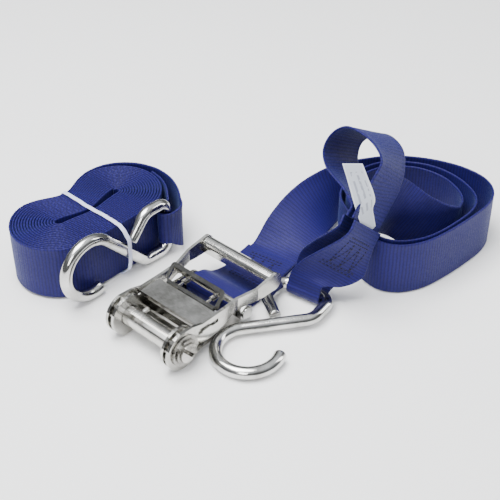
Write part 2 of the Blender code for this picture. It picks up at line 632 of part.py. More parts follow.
def rolled_strap():
    points = roll_turns()
    # the outermost layer leaves the roll at its back and carries the hook at the front
    tail = [(-49.0, 107.1), (-41.0, 106.9), (-32.0, 104.2), (-23.5, 98.0), (-16.6, 88.6),
            (-12.8, 75.0), (-14.2, 61.0), (-19.2, 49.0), (-25.6, 39.6)]
    height, w = ROLL_Z, WEB_WIDTH
    rows = [(x, y, height, 0.0, 0.0, -1.0, w) for x, y in points]
    tail_rows = [(x, y, height, 0.0, 0.0, -1.0, w) for x, y in tail]
    fold_z = FOLD_A.z
    tail_rows.append((FOLD_A.x + 8.0, FOLD_A.y - FOLD_R + 0.2, height + 0.8, 0, 0, -1.0, 32.0))
    for turn in range(-90, -271, -20):
        a = math.radians(turn)
        tail_rows.append((FOLD_A.x + FOLD_R * math.cos(a), FOLD_A.y + FOLD_R * math.sin(a), fold_z,
                          0, 0, -1.0, 24.0))
    tail_rows.append((FOLD_A.x + 7.0, FOLD_A.y + FOLD_R + 1.0, height + 0.8, 0, 0, -1.0, 32.0))
    for x, y in ((-25.4, 52.4), (-19.8, 63.0), (-17.4, 75.0)):
        tail_rows.append((x, y, height, 0, 0, -1.0, w))
    joined = rows + smooth_path([rows[-1]] + tail_rows, 4.0)[1:]
    return ribbon("rolled_strap", joined, webbing("rolled_strap_webbing"), curved=False)


def rubber_band():
    """Closed flat band round the roll and its hook."""
    back = squeezed(BAND_X, ROLL_CENTRE[1] + ROLL_FIRST_R + ROLL_PITCH * ROLL_TURNS)[1] + 1.9
    loop = [(48, 39.95), (60, 39.95), (72, 39.95), (84, 39.95), (back - 1.1, 39.95), (back, 39.0),
            (back, 30), (back, 20), (back, 10), (back, 1.4), (back - 1.1, 0.45),
            (84, 0.45), (72, 0.45), (60, 0.45), (49, 0.45), (43.8, 0.9), (37.0, 8.0),
            (35.0, 14), (34.8, 20), (34.8, 26), (35.2, 31.5), (39.0, 37.2), (43.2, 39.8)]
    points, faces = [], []
    count = len(loop)
    for i, (y, z) in enumerate(loop):
        before, after = Vector(loop[i - 1]), Vector(loop[(i + 1) % count])
        ahead = (after - before).normalized()
        out = Vector((-ahead.y, ahead.x))
        for x, n in ((-1.5, 0.35), (1.5, 0.35), (1.5, -0.35), (-1.5, -0.35)):
            points.append((BAND_X + x, y + out.x * n, z + out.y * n))
    for i in range(count):
        for k in range(4):
            a, b, c = 4 * i + k, 4 * i + (k + 1) % 4, 4 * ((i + 1) % count)
            faces.append((a, b, c + (k + 1) % 4, c + k))
    return make("rubber_band", points, faces, material("band_rubber", (0.62, 0.64, 0.8), 0.5, 0.0),
                smooth=range(len(faces)))


# ---------------------------------------------------------------- build

for old in list(bpy.data.objects):
    bpy.data.objects.remove(old, do_unlink=True)

base_frame()
handle()
drive_pawl()
lock_pawl()
springs()
spool()
anchor()
s_hook("short_strap_hook", HOOK_C, HOOK_C_A, HOOK_C_B, EYE_FAR)
s_hook("rolled_strap_hook", HOOK_A, HOOK_A_A, HOOK_A_B, EYE_FAR)
short_strap()
sewn_hook_end()
soft_loop()
label_tag()
rolled_strap()
rubber_band()
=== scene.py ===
"""Looks of the ratchet tie down set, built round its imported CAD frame.

The hardware keeps its CAD shape and gets polished steel; every strap is built again as woven
webbing with ribs, selvedges and sewing, along the same routes as the CAD solids.  Only the
label's free end leaves its CAD route: it stands about 11 mm nearer the soft loop.
"""
import math

import bpy
import numpy as np
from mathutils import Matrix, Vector


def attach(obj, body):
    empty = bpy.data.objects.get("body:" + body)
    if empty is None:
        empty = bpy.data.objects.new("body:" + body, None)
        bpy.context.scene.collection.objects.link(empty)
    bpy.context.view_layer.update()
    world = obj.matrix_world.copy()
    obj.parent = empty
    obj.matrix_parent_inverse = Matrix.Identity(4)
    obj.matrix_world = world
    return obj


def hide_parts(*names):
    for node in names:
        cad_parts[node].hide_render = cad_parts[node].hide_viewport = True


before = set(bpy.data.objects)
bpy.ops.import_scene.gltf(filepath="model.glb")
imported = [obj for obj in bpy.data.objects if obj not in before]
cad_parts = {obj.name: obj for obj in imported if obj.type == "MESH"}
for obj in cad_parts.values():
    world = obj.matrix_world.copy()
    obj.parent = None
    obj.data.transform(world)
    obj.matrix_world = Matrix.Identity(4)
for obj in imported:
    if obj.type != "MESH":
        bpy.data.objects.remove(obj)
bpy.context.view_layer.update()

MM = 0.001

# ---------------------------------------------------------------- layout, as in the CAD model
LAYOUT_SHIFT = np.array((-1.5, 4.36, -0.06))
WEB_WIDTH, WEB_THICK, LABEL_WIDTH = 38.0, 1.4, 13.0
FIT_GAP = 0.3
AXIS_X, RATCHET_Y = -111.0, -23.0
BOLT_X, BOLT_Z, SPACER_R = 54.0, 8.4, 5.8
WIRE_R = 4.0
HOOK_R, HOOK_OPENING = 19.5, 68.0     # open bend, and degrees from the hook's axis to its tip
LEG_FALL = 17.0                       # how far the crossing leg falls past the axis by EYE_AT
EYE_AT, EYE_FAR, EYE_HALF = 51.0, 66.0, 18.0
EYE_RETURN, HOOK_TIP = 47.0, (34.2, 2.9)
EYE_FILLETS = (11.0, 7.0, 7.0, 11.0)  # radii of the eye's corners, in order along the wire
FOLD_R = WIRE_R + 2 * FIT_GAP + WEB_THICK / 2
ROLL_CENTRE, ROLL_HALF = (-74.0, 76.0), 24.0
ROLL_FIRST_R, ROLL_PITCH, ROLL_TURNS, ROLL_Z = 2.2, 1.83, 16, 20.3
ROLL_FRONT = 31.4                     # from the roll's middle line to its front
BAND_X, BAND_PINCH, BAND_CLOSE, BAND_REACH = -75.5, 0.125, 1.9, 16.0
GATHERED = 24.0                       # width of webbing folded into a hook's eye

# ---------------------------------------------------------------- weave and sewing
RIB = 2.2                             # pitch of the ribs across the webbing
RIB_DEPTH = 0.09                      # how far a rib's valley lies below its crest
YARN = 1.15                           # pitch of the yarns along a rib
STITCH, STITCH_GAP, THREAD_R = 2.3, 0.6, 0.42
DOUBLE_ROW = 2.6                      # between the two rows of a seam across the band
SEAM_HALF, ZIGZAG_HALF = 0.66, 0.6    # fractions of the band's half width
ZIGZAG_INSET, ZIGZAG_STROKES = 3.4, 6
CUT_END, BOX_LENGTH = 10.0, 26.0      # cut edge to its first seam, and the box's length
ANCHOR_BOX = (6.0, 34.0)              # box seam of the anchor loop, from the strap's end
STEPS_MM = 1.0                        # spacing of the points on a smooth path
UV_MAP = "web"

# ---------------------------------------------------------------- camera, floor and light


def camera():
    """Looks down at the middle of the set from the front left."""
    cam = bpy.data.cameras.new("camera")
    cam.lens, cam.sensor_width = 75.6, 36.0
    azimuth, elevation, distance = math.radians(-47.5), math.radians(37.0), 0.712
    back = Vector((math.sin(azimuth) * math.cos(elevation),
                   -math.cos(azimuth) * math.cos(elevation), math.sin(elevation)))
    obj = bpy.data.objects.new("camera", cam)
    obj.location = Vector(LAYOUT_SHIFT * MM) + back * distance
    obj.rotation_euler = (-back).to_track_quat("-Z", "Y").to_euler()
    bpy.context.scene.collection.objects.link(obj)
    bpy.context.scene.camera = obj


def area_light(name, place, target, size, power):
    """Rectangular lamp; places and sizes in metres, power in watts."""
    data = bpy.data.lights.new(name, "AREA")
    data.shape = "RECTANGLE"
    data.size, data.size_y = size
    data.energy = power
    obj = bpy.data.objects.new(name, data)
    obj.location = place
    obj.rotation_euler = (Vector(target) - Vector(place)).to_track_quat("-Z", "Y").to_euler()
    bpy.context.scene.collection.objects.link(obj)


def studio():
    """Pale floor, three soft lamps and a sky that brightens towards the top."""
    mesh = bpy.data.meshes.new("studio_floor")
    half, level = 4.0, -0.0003
    mesh.from_pydata([(-half, -half, level), (half, -half, level), (half, half, level),
                      (-half, half, level)], [], [(0, 1, 2, 3)])
    floor = bpy.data.objects.new("studio_floor", mesh)
    bpy.context.scene.collection.objects.link(floor)
    paper = Nodes("studio_paper")
    paper.set(base=(0.93, 0.93, 0.93), roughness=0.9)
    floor.data.materials.append(paper.material)
    area_light("overhead", (-0.25, 0.15, 1.1), (0, 0, 0), (0.9, 0.7), 30.0)
    area_light("front_left", (-1.0, -0.55, 0.75), (0, 0, 0.03), (0.4, 0.6), 7.0)
    area_light("right_strip", (0.9, -0.7, 0.6), (0, 0, 0.03), (0.2, 0.9), 5.0)
    world = bpy.data.worlds.new("studio_world")
    world.use_nodes = True
    tree = world.node_tree
    split = tree.nodes.new("ShaderNodeSeparateXYZ")
    tree.links.new(tree.nodes.new("ShaderNodeTexCoord").outputs["Generated"], split.inputs[0])
    ramp = tree.nodes.new("ShaderNodeMapRange")
    ramp.interpolation_type = "SMOOTHSTEP"
    for key, value in (("From Min", 0.45), ("From Max", 0.95), ("To Min", 0.2), ("To Max", 1.3)):
        ramp.inputs[key].default_value = value
    tree.links.new(split.outputs["Z"], ramp.inputs["Value"])
    sky = tree.nodes["Background"]
    sky.inputs["Color"].default_value = (0.93, 0.96, 1.0, 1.0)
    tree.links.new(ramp.outputs[0], sky.inputs["Strength"])
    bpy.context.scene.world = world


# ---------------------------------------------------------------- materials


class Nodes:
    """A material and a short way to add and join its nodes."""

    def __init__(self, name):
        self.material = bpy.data.materials.new(name)
        self.material.use_nodes = True
        self.tree = self.material.node_tree
        self.shader = self.tree.nodes["Principled BSDF"]

    def put(self, value, socket):
        if isinstance(value, bpy.types.NodeSocket):
            self.tree.links.new(value, socket)
        else:
            socket.default_value = value

    def add(self, kind, inputs=(), output=0, **settings):
        node = self.tree.nodes.new("ShaderNode" + kind)
        for key, value in settings.items():
            setattr(node, key, value)
        for key, value in dict(inputs).items():
            self.put(value, node.inputs[key])
        return node.outputs[output]

    def math(self, operation, a, b=0.0):
        return self.add("Math", {0: a, 1: b}, operation=operation)

    def spread(self, value, low, high, to_low, to_high):
        return self.add("MapRange", {"Value": value, "From Min": low, "From Max": high,
                                     "To Min": to_low, "To Max": to_high})

    def blend(self, factor, a, b):
        node = self.tree.nodes.new("ShaderNodeMix")
        node.data_type = "RGBA"
        self.put(factor, node.inputs["Factor"])
        for key, colour in ((6, a), (7, b)):
            self.put(colour if isinstance(colour, bpy.types.NodeSocket) else (*colour, 1.0),
                     node.inputs[key])
        return node.outputs[2]

    def place(self, stretch=(1.0, 1.0, 1.0)):
        """Object coordinates, stretched per axis."""
        here = self.add("TexCoord", output=3)
        return self.add("Mapping", {"Vector": here, "Scale": stretch})

    def noise(self, where, scale, detail=3.0, roughness=0.55):
        return self.add("TexNoise", {"Vector": where, "Scale": scale, "Detail": detail,
                                     "Roughness": roughness})

    def bump(self, height, depth, strength):
        return self.add("Bump", {"Height": height, "Distance": depth, "Strength": strength})

    def band_coordinates(self):
        """Distance along a band and across it from its middle, in metres."""
        split = self.tree.nodes.new("ShaderNodeSeparateXYZ")
        self.put(self.add("UVMap", uv_map=UV_MAP), split.inputs[0])
        return split.outputs[0], split.outputs[1]

    def set(self, base, roughness, metallic=0.0, normal=None, **more):
        """Values or links on the shader; more holds its plain inputs, with _ for a space."""
        colour = base if isinstance(base, bpy.types.NodeSocket) else (*base, 1.0)
        self.put(colour, self.shader.inputs["Base Color"])
        self.put(roughness, self.shader.inputs["Roughness"])
        self.shader.inputs["Metallic"].default_value = metallic
        if normal is not None:
            self.put(normal, self.shader.inputs["Normal"])
        for key, value in more.items():
            self.shader.inputs[key.replace("_", " ")].default_value = value


def webbing_material(name, valley_shade_blue, crest_highlight_blue):
    """Woven band: ribs across it, each made of short yarn floats, offset from rib to rib.  Its colour
    holds painted shade in the rib valleys and a painted highlight on the crests.
    """
    m = Nodes(name)
    where = m.place()
    along, across = m.band_coordinates()
    wander = m.spread(m.noise(where, 140.0, 2.0), 0.3, 0.7, -0.12, 0.12)
    phase = m.math("ADD", m.math("MULTIPLY", along, 1.0 / (RIB * MM)), wander)
    crest = m.math("ABSOLUTE", m.math("SINE", m.math("MULTIPLY", phase, math.pi)))
    row = m.math("MULTIPLY", m.math("FLOOR", phase), 0.5)
    lane = m.math("ADD", m.math("MULTIPLY", across, 1.0 / (YARN * MM)), row)
    floats = m.math("ABSOLUTE", m.math("SINE", m.math("MULTIPLY", lane, math.pi)))
    weave = m.math("MULTIPLY", m.math("POWER", crest, 0.5), m.spread(floats, 0.0, 1.0, 0.55, 1.0))
    fuzz = m.noise(where, 2600.0, 2.0)
    height = m.math("ADD", weave, m.math("MULTIPLY", fuzz, 0.35))
    # painted shade and highlight: the blue is darkened in the rib valleys and lightened on the crests
    # and yarn floats, with a random tone from the noise on top
    tone = m.math("MULTIPLY", m.spread(weave, 0.1, 0.95, 0.0, 1.0),
                  m.spread(m.noise(where, 38.0, 4.0), 0.3, 0.7, 0.72, 1.0))
    m.set(base=m.blend(tone, valley_shade_blue, crest_highlight_blue),
          roughness=m.spread(m.noise(where, 900.0), 0.3, 0.7, 0.5, 0.72),
          normal=m.bump(height, 0.00016, 0.8), Sheen_Weight=0.08, Sheen_Roughness=0.4,
          Sheen_Tint=(0.35, 0.5, 1.0, 1.0), Specular_IOR_Level=0.25)
    return m.material


def thread_material():
    """Dark navy thread with a fine fuzz."""
    m = Nodes("sewing_thread")
    where = m.place()
    m.set(base=m.blend(m.noise(where, 700.0), (0.0008, 0.0008, 0.006), (0.002, 0.002, 0.018)),
          roughness=0.6, normal=m.bump(m.noise(where, 5200.0), 0.0001, 0.6), Specular_IOR_Level=0.3)
    return m.material


def steel_material(name, dull, clean, smooth, rough, grain=(60.0, 9.0, 60.0)):
    """Polished sheet or wire: faint lines of the polishing, cloudy patches, small pits."""
    m = Nodes(name)
    where = m.place()
    lines = m.noise(m.place(grain), 34.0, 5.0, 0.7)
    clouds = m.noise(where, 48.0, 5.0, 0.6)
    pits = m.add("TexVoronoi", {"Vector": where, "Scale": 420.0})
    gloss = m.math("ADD", m.spread(clouds, 0.3, 0.7, smooth, rough),
                   m.spread(lines, 0.35, 0.65, -0.03, 0.05))
    tone = m.spread(m.math("ADD", m.math("MULTIPLY", clouds, 0.7), m.math("MULTIPLY", lines, 0.3)),
                    0.36, 0.62, 0.0, 1.0)
    dents = m.math("ADD", m.math("MULTIPLY", lines, 0.5), m.math("MULTIPLY", clouds, 1.2))
    small = m.spread(pits, 0.0, 0.12, 0.0, 0.25)
    m.set(base=m.blend(tone, dull, clean), roughness=gloss, metallic=1.0,
          normal=m.bump(m.math("ADD", dents, small), 0.00012, 0.35))
    return m.material


def label_material():
    """Satin label: fine cross threads and a few plain woven bars with no lettering."""
    m = Nodes("label_satin")
    where = m.place()
    along, across = m.band_coordinates()
    threads = m.math("SINE", m.math("MULTIPLY", along, 2 * math.pi / 0.0006))
    cross = m.math("SINE", m.math("MULTIPLY", across, 2 * math.pi / 0.0005))
    weave = m.math("ADD", threads, cross)
    edge = m.math("GREATER_THAN", m.math("ABSOLUTE", across), 0.0056)
    stripes = m.math("SINE", m.math("MULTIPLY", across, 2 * math.pi / 0.0035))
    lane = m.math("GREATER_THAN", stripes, 0.35)
    inner = m.math("LESS_THAN", m.math("ABSOLUTE", across), 0.0045)
    span = m.math("MULTIPLY", m.math("GREATER_THAN", along, 0.020), m.math("LESS_THAN", along, 0.053))
    breaks = m.math("GREATER_THAN", m.noise(where, 260.0, 0.0), 0.44)
    bars = m.math("MULTIPLY", m.math("MULTIPLY", lane, inner), m.math("MULTIPLY", span, breaks))
    base = m.blend(m.math("MULTIPLY", bars, 0.55), (0.56, 0.60, 0.68), (0.10, 0.12, 0.2))
    m.set(base=m.blend(m.math("MULTIPLY", edge, 0.7), base, (0.82, 0.84, 0.88)),
          roughness=m.spread(m.noise(where, 300.0), 0.3, 0.7, 0.32, 0.5),
          normal=m.bump(weave, 0.00005, 0.5), Sheen_Weight=0.2, Specular_IOR_Level=0.5)
    return m.material


def rubber_material():
    """Pale bluish rubber, a little translucent."""
    m = Nodes("band_rubber")
    where = m.place()
    m.set(base=m.blend(m.noise(where, 90.0, 4.0), (0.50, 0.53, 0.74), (0.68, 0.71, 0.9)),
          roughness=m.spread(m.noise(where, 600.0), 0.3, 0.7, 0.38, 0.6),
          normal=m.bump(m.noise(where, 1500.0, 4.0), 0.0001, 0.5), Subsurface_Weight=0.15,
          Subsurface_Scale=0.002, Specular_IOR_Level=0.45)
    return m.material


# ---------------------------------------------------------------- bands of webbing


def smooth_path(stations, spacing):
    """Catmull-Rom curve through rows of numbers whose first three are a point."""
    rows = [np.array(s, float) for s in stations]
    result = []
    for i in range(len(rows) - 1):
        before = rows[i - 1] if i else 2 * rows[0] - rows[1]
        after = rows[i + 2] if i + 2 < len(rows) else 2 * rows[-1] - rows[-2]
        a, b = rows[i], rows[i + 1]
        steps = max(1, round(float(np.linalg.norm(b[:3] - a[:3])) / spacing))
        for k in range(steps):
            t = k / steps
            result.append(0.5 * (2 * a + (b - before) * t + (2 * before - 5 * a + 4 * b - after) * t * t
                                 + (3 * a - before - 3 * b + after) * t ** 3))
    result.append(rows[-1])
    return np.array(result)


class Band:
    """A strap's middle surface: evenly spaced rows with a point, width direction and normal."""

    def __init__(self, rows, step, skewed=False):
        length = np.concatenate(([0.0], np.cumsum(np.linalg.norm(np.diff(rows[:, :3], axis=0), axis=1))))
        self.length = float(length[-1])
        count = max(2, round(self.length / step)) + 1
        self.s = np.linspace(0.0, self.length, count)
        even = np.stack([np.interp(self.s, length, rows[:, k]) for k in range(rows.shape[1])], 1)
        self.point, self.width = even[:, :3], even[:, 6]
        ahead = np.gradient(self.point, axis=0)
        ahead /= np.linalg.norm(ahead, axis=1)[:, None]
        across = even[:, 3:6]
        if not skewed:
            across = across - (across * ahead).sum(1)[:, None] * ahead
        self.across = across / np.linalg.norm(across, axis=1)[:, None]
        normal = np.cross(ahead, self.across)
        self.normal = normal / np.linalg.norm(normal, axis=1)[:, None]

    def at(self, s, v, lift):
        """Point at distance s along, fraction v (-1 to 1) of the half width, lifted off the middle."""
        def read(values):
            return np.array([np.interp(s, self.s, values[:, k]) for k in range(3)])
        half = float(np.interp(s, self.s, self.width)) / 2
        return read(self.point) + read(self.across) * (v * half) + read(self.normal) * lift


# fraction of the half width, and thickness there: rounded edge, selvedge bead, woven field
SECTION = ((-1.0, 0.30), (-0.985, 0.80), (-0.95, 1.04), (-0.91, 0.90), (-0.6, 0.96), (-0.2, 1.0),
           (0.2, 1.0), (0.6, 0.96), (0.91, 0.90), (0.95, 1.04), (0.985, 0.80), (1.0, 0.30))


def webbing(name, band, material, thick=WEB_THICK, rib_depth=RIB_DEPTH, gather=0.0, full=WEB_WIDTH):
    """Closed mesh of a woven band.  Where it is narrower than full, gather waves it lengthwise."""
    count = len(band.s)
    crest = np.abs(np.sin(np.pi * band.s / RIB)) ** 0.6
    side = [(v, t, 1) for v, t in SECTION] + [(v, t, -1) for v, t in reversed(SECTION)]
    ring = len(side)
    points = np.empty((count, ring, 3))
    tuck = np.clip(1.0 - band.width / full, 0.0, 1.0)
    for k, (v, t, face) in enumerate(side):
        ribbed = rib_depth * (1.0 - crest) if abs(v) < 0.93 else 0.25 * rib_depth * (1.0 - crest)
        lift = face * (t * thick / 2 - ribbed)
        lift = lift + gather * tuck * (1.0 - math.cos(2 * math.pi * 1.5 * v)) / 2
        points[:, k] = (band.point + band.across * (v * band.width / 2)[:, None]
                        + band.normal * lift[:, None])
    verts = ((points.reshape(-1, 3) + LAYOUT_SHIFT) * MM)
    index = np.arange(count * ring).reshape(count, ring)
    quads = np.stack([index[:-1], np.roll(index, -1, 1)[:-1], np.roll(index, -1, 1)[1:], index[1:]],
                     -1).reshape(-1, 4)
    faces = [tuple(int(i) for i in q) for q in quads]
    half = ring // 2
    for row, flip in ((0, True), (count - 1, False)):
        for k in range(half - 1):
            cap = (index[row, k], index[row, k + 1], index[row, ring - 2 - k], index[row, ring - 1 - k])
            cap = cap[::-1] if flip else cap
            faces.append(tuple(int(i) for i in cap))
    obj = mesh_object(name, verts, faces, material)
    place = np.empty((count * ring, 2))
    place[:, 0] = np.repeat(band.s, ring) * MM
    place[:, 1] = np.tile([v * full / 2 * MM for v, _, _ in side], count)
    uv = obj.data.uv_layers.new(name=UV_MAP)
    loops = np.empty(len(obj.data.loops), int)
    obj.data.loops.foreach_get("vertex_index", loops)
    uv.data.foreach_set("uv", place[loops].ravel())
    return obj


def mesh_object(name, points, faces, material):
    mesh = bpy.data.meshes.new(name)
    mesh.from_pydata([tuple(map(float, p)) for p in points], [], faces)
    mesh.materials.append(material)
    mesh.shade_smooth()
    mesh.update()
    obj = bpy.data.objects.new(name, mesh)
    bpy.context.scene.collection.objects.link(obj)
    return obj


def sewing(name, seams, material):
    """Rows of stitches.  A seam is a band, a list of (s, v) corners and the lift of the thread."""
    points, faces = [], []
    rings = ((-1.0, 0.25), (-0.72, 0.85), (0.0, 1.0), (0.72, 0.85), (1.0, 0.25))
    sides = 6
    for band, corners, lift in seams:
        sign = 1.0 if lift > 0 else -1.0
        half = WEB_WIDTH / 2
        for (s0, v0), (s1, v1) in zip(corners, corners[1:]):
            run = math.hypot(s1 - s0, (v1 - v0) * half)
            number = max(1, round(run / (STITCH + STITCH_GAP)))
            for i in range(number):
                a = (i + STITCH_GAP / (STITCH + STITCH_GAP) / 2) / number
                b = (i + 1 - STITCH_GAP / (STITCH + STITCH_GAP) / 2) / number
                ends = [band.at(s0 + (s1 - s0) * t, v0 + (v1 - v0) * t, lift) for t in (a, b)]
                ahead = ends[1] - ends[0]
                half_run = np.linalg.norm(ahead) / 2
                ahead /= 2 * half_run
                middle_s = s0 + (s1 - s0) * (a + b) / 2
                up = np.array([np.interp(middle_s, band.s, band.normal[:, k]) for k in range(3)]) * sign
                up -= up.dot(ahead) * ahead
                up /= np.linalg.norm(up)
                out = np.cross(ahead, up)
                centre = (ends[0] + ends[1]) / 2
                start = len(points)
                for along, thick in rings:
                    dip = -0.16 * along * along
                    for k in range(sides):
                        turn = 2 * math.pi * k / sides
                        points.append(centre + ahead * (along * half_run) + up * dip
                                      + THREAD_R * thick * (math.cos(turn) * out + math.sin(turn) * up))
                for r in range(len(rings) - 1):
                    for k in range(sides):
                        p, q = start + sides * r + k, start + sides * r + (k + 1) % sides
                        faces.append((p, q, q + sides, p + sides))
                last = start + sides * (len(rings) - 1)
                faces.append(tuple(range(start + sides - 1, start - 1, -1)))
                faces.append(tuple(range(last, last + sides)))
    return mesh_object(name, (np.array(points) + LAYOUT_SHIFT) * MM, faces, material)


# ---------------------------------------------------------------- hooks

HOOK_C = Vector((-78.2, -70.0, 4.55))
HOOK_C_A = Vector((0.989, 0.143, 0.0272)).normalized()
HOOK_C_B = Vector((-0.1445, 0.9895, 0.0))
FOLD_C = HOOK_C + HOOK_C_A * EYE_FAR
HOOK_A = Vector((-104.5, 39.6, 24.0))
HOOK_A_A = Vector((1.0, 0.0, -0.02)).normalized()
HOOK_A_B = Vector((0.02, 0.0, 1.0)).normalized()
FOLD_A = HOOK_A + HOOK_A_A * EYE_FAR


def fillet(corner, before, after, radius, steps):
    """Arc that rounds a corner of a path."""
    c, a, b = Vector(corner), Vector(before), Vector(after)
    u, v = (a - c).normalized(), (b - c).normalized()
    half = math.acos(max(-1.0, min(1.0, u.dot(v)))) / 2
    start, end = c + u * (radius / math.tan(half)), c + v * (radius / math.tan(half))
    centre = c + (u + v).normalized() * (radius / math.sin(half))
    first, last = start - centre, end - centre
    sweep = math.atan2(first.x * last.y - first.y * last.x, first.dot(last))
    result = []
    for i in range(steps + 1):
        t = sweep * i / steps
        result.append((centre.x + first.x * math.cos(t) - first.y * math.sin(t),
                       centre.y + first.x * math.sin(t) + first.y * math.cos(t)))
    return result


def hook_path():
    """Centre line of an S-hook: a runs from the open bend to the eye, b across."""
    lean = math.degrees(math.asin((HOOK_R + LEG_FALL) / EYE_AT))
    sweep = (360.0 - (90.0 - lean)) - HOOK_OPENING
    path = []
    for i in range(91):
        turn = math.radians(-HOOK_OPENING - sweep * i / 90)
        path.append((HOOK_R * math.cos(turn), HOOK_R * math.sin(turn)))
    slope = -math.tan(math.radians(lean))
    a0, b0 = path[-1]
    corner = (a0 + (-EYE_HALF - b0) / slope, -EYE_HALF)
    corners = [corner, (EYE_FAR, -EYE_HALF), (EYE_FAR, EYE_HALF), (EYE_RETURN, EYE_HALF)]
    chain = [path[-1]] + corners + [HOOK_TIP]
    for i, radius in enumerate(EYE_FILLETS, start=1):
        path += fillet(chain[i], chain[i - 1], chain[i + 1], radius, 24)
    return path + [HOOK_TIP]


def even_path(path, step):
    """The same line with evenly spaced points."""
    rows = np.array(path, float)
    length = np.concatenate(([0.0], np.cumsum(np.linalg.norm(np.diff(rows, axis=0), axis=1))))
    keep = np.concatenate(([True], np.diff(length) > 1e-6))
    s = np.linspace(0.0, length[-1], max(2, round(length[-1] / step)) + 1)
    return np.stack([np.interp(s, length[keep], rows[keep, k]) for k in range(rows.shape[1])], 1)


def s_hook(name, node, origin, a_dir, b_dir, material):
    """Round polished wire with slightly rounded cut ends."""
    flat = even_path(hook_path(), 1.2)
    a_dir, b_dir = np.array(a_dir), np.array(b_dir)
    line = np.array(origin) + flat[:, :1] * a_dir + flat[:, 1:] * b_dir
    rise = np.cross(a_dir, b_dir)
    ahead = np.gradient(line, axis=0)
    ahead /= np.linalg.norm(ahead, axis=1)[:, None]
    side = np.cross(rise, ahead)
    count, sides = len(line), 40
    # each ring: place in the line, slide along it, share of the wire's radius
    rows = [(0, 0.0, 0.86), (0, 0.25, 0.96), (0, 0.6, 1.0)]
    rows += [(i, 0.0, 1.0) for i in range(1, count - 1)]
    rows += [(count - 1, -0.6, 1.0), (count - 1, -0.25, 0.96), (count - 1, 0.0, 0.86)]
    points, faces = [], []
    for i, slide, share in rows:
        here = line[i] + ahead[i] * slide
        for k in range(sides):
            turn = 2 * math.pi * k / sides
            points.append(here + WIRE_R * share * (math.cos(turn) * side[i] + math.sin(turn) * rise))
    for r in range(len(rows) - 1):
        for k in range(sides):
            p, q = sides * r + k, sides * r + (k + 1) % sides
            faces.append((p, q, q + sides, p + sides))
    last = sides * (len(rows) - 1)
    faces += [tuple(range(sides - 1, -1, -1)), tuple(range(last, last + sides))]
    obj = mesh_object(name, (np.array(points) + LAYOUT_SHIFT) * MM, faces, material)
    obj.data.set_sharp_from_angle(angle=math.radians(40.0))
    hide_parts(node)
    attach(obj, "base")


# ---------------------------------------------------------------- sewn end of the fixed strap

SEWN_LINE = [
    (tuple(FOLD_C), (0.145, -0.99, 0.0)),
    ((-8.6, -61.2, 14.5), (0.15, -0.98, -0.08)),
    ((-5.5, -67.0, 21.0), (0.34, -0.88, -0.34)),
    ((-1.6, -75.5, 29.0), (0.58, -0.62, -0.53)),
    ((1.4, -82.8, 39.5), (0.71, -0.22, -0.66)),
    ((5.1, -87.0, 48.9), (0.74, 0.0, -0.673)),
    ((11.2, -87.0, 55.6), (0.74, 0.0, -0.673)),
    ((16.9, -87.0, 61.8), (0.74, 0.0, -0.673)),
]
STACK = {"loop_front": 2.4, "loop_back": 6.4, "back": 8.4}   # layers behind the front one


def sewn_layer(offsets, widths, indices):
    """Stations on one layer of the sewn end; offsets are measured towards the back (+Y side)."""
    stations = []
    for i, offset, width in zip(indices, offsets, widths):
        here, across = Vector(SEWN_LINE[i][0]), Vector(SEWN_LINE[i][1])
        ahead = (Vector(SEWN_LINE[min(i + 1, 7)][0]) - Vector(SEWN_LINE[max(i - 1, 0)][0])).normalized()
        across.normalize()
        back = ahead.cross(across).normalized()
        stations.append((*(here + back * offset), *across, width))
    return stations


def short_strap_stations():
    """Sewn round the anchor bolt, run out, coiled loosely on edge, led into the sewn end."""
    bx, w = AXIS_X + BOLT_X, WEB_WIDTH
    turn_r = SPACER_R + FIT_GAP + WEB_THICK / 2
    flat, edge = (0.0, -1.0, 0.0), (0.0, 0.0, -1.0)
    path = [(x, y, z, *flat, w) for x, y, z in (
        (3.4, -16.6, 3.2), (-12.0, -19.0, 3.2), (-27.0, -21.4, 3.3), (-40.0, -22.6, 7.2),
        (-48.5, -23.0, 13.0))]
    for turn in range(75, 272, 28):
        a = math.radians(turn)
        path.append((bx + turn_r * math.cos(a), RATCHET_Y, BOLT_Z + turn_r * math.sin(a), *flat, w))
    for x, y, z, across in (
            (-46.0, -23.0, 1.15, flat), (-30.0, -22.0, 1.15, flat), (-14.0, -19.5, 1.15, flat),
            (1.0, -17.0, 1.15, flat), (8.5, -16.2, 1.7, flat), (16.0, -15.8, 4.6, (0.02, -0.98, -0.18)),
            (26.0, -15.4, 10.2, (0.06, -0.92, -0.38)), (42.0, -15.0, 16.2, (0.08, -0.8, -0.6)),
            (60.0, -15.0, 18.8, (0.06, -0.55, -0.83)), (78.0, -16.6, 19.6, (0.02, -0.22, -0.97))):
        path.append((x, y, z, *across, w))
    coil = [(96, -22.5), (111.5, -34.5), (124.5, -54), (131.5, -76), (130.5, -96), (121, -109.5),
            (106, -115.4), (85, -115.6), (62, -113.4), (44.5, -109.6), (32.0, -102.5), (25.4, -93.5),
            (24.2, -84), (28.0, -70), (38.0, -51), (45.4, -40), (55, -33.2), (74, -27.6),
            (94, -30.5), (107.5, -41), (117, -56), (120, -72), (116.4, -90), (107, -105),
            (93, -111.4), (72, -111.4), (53, -108.6), (40.5, -103.2), (32.4, -96), (28.4, -88),
            (29.0, -79), (34.5, -66), (42.5, -52), (50, -41.6), (60, -35.6), (76, -33),
            (92, -36), (103, -44.6), (111, -58), (112.4, -75), (106.5, -91), (97, -101.0)]
    path += [(x, y, 19.6, *edge, w) for x, y in coil]
    path += [(x, y, z, *edge, w) for x, y, z in (
        (85.0, -103.4, 21.0), (73.0, -99.0, 26.6), (61.5, -90.8, 35.4), (51.0, -83.2, 45.2),
        (41.0, -81.2, 54.4), (31.0, -82.2, 58.8), (24.6, -82.6, 59.4), (18.2, -82.6, 59.0),
        (13.0, -82.6, 57.8))]
    return path


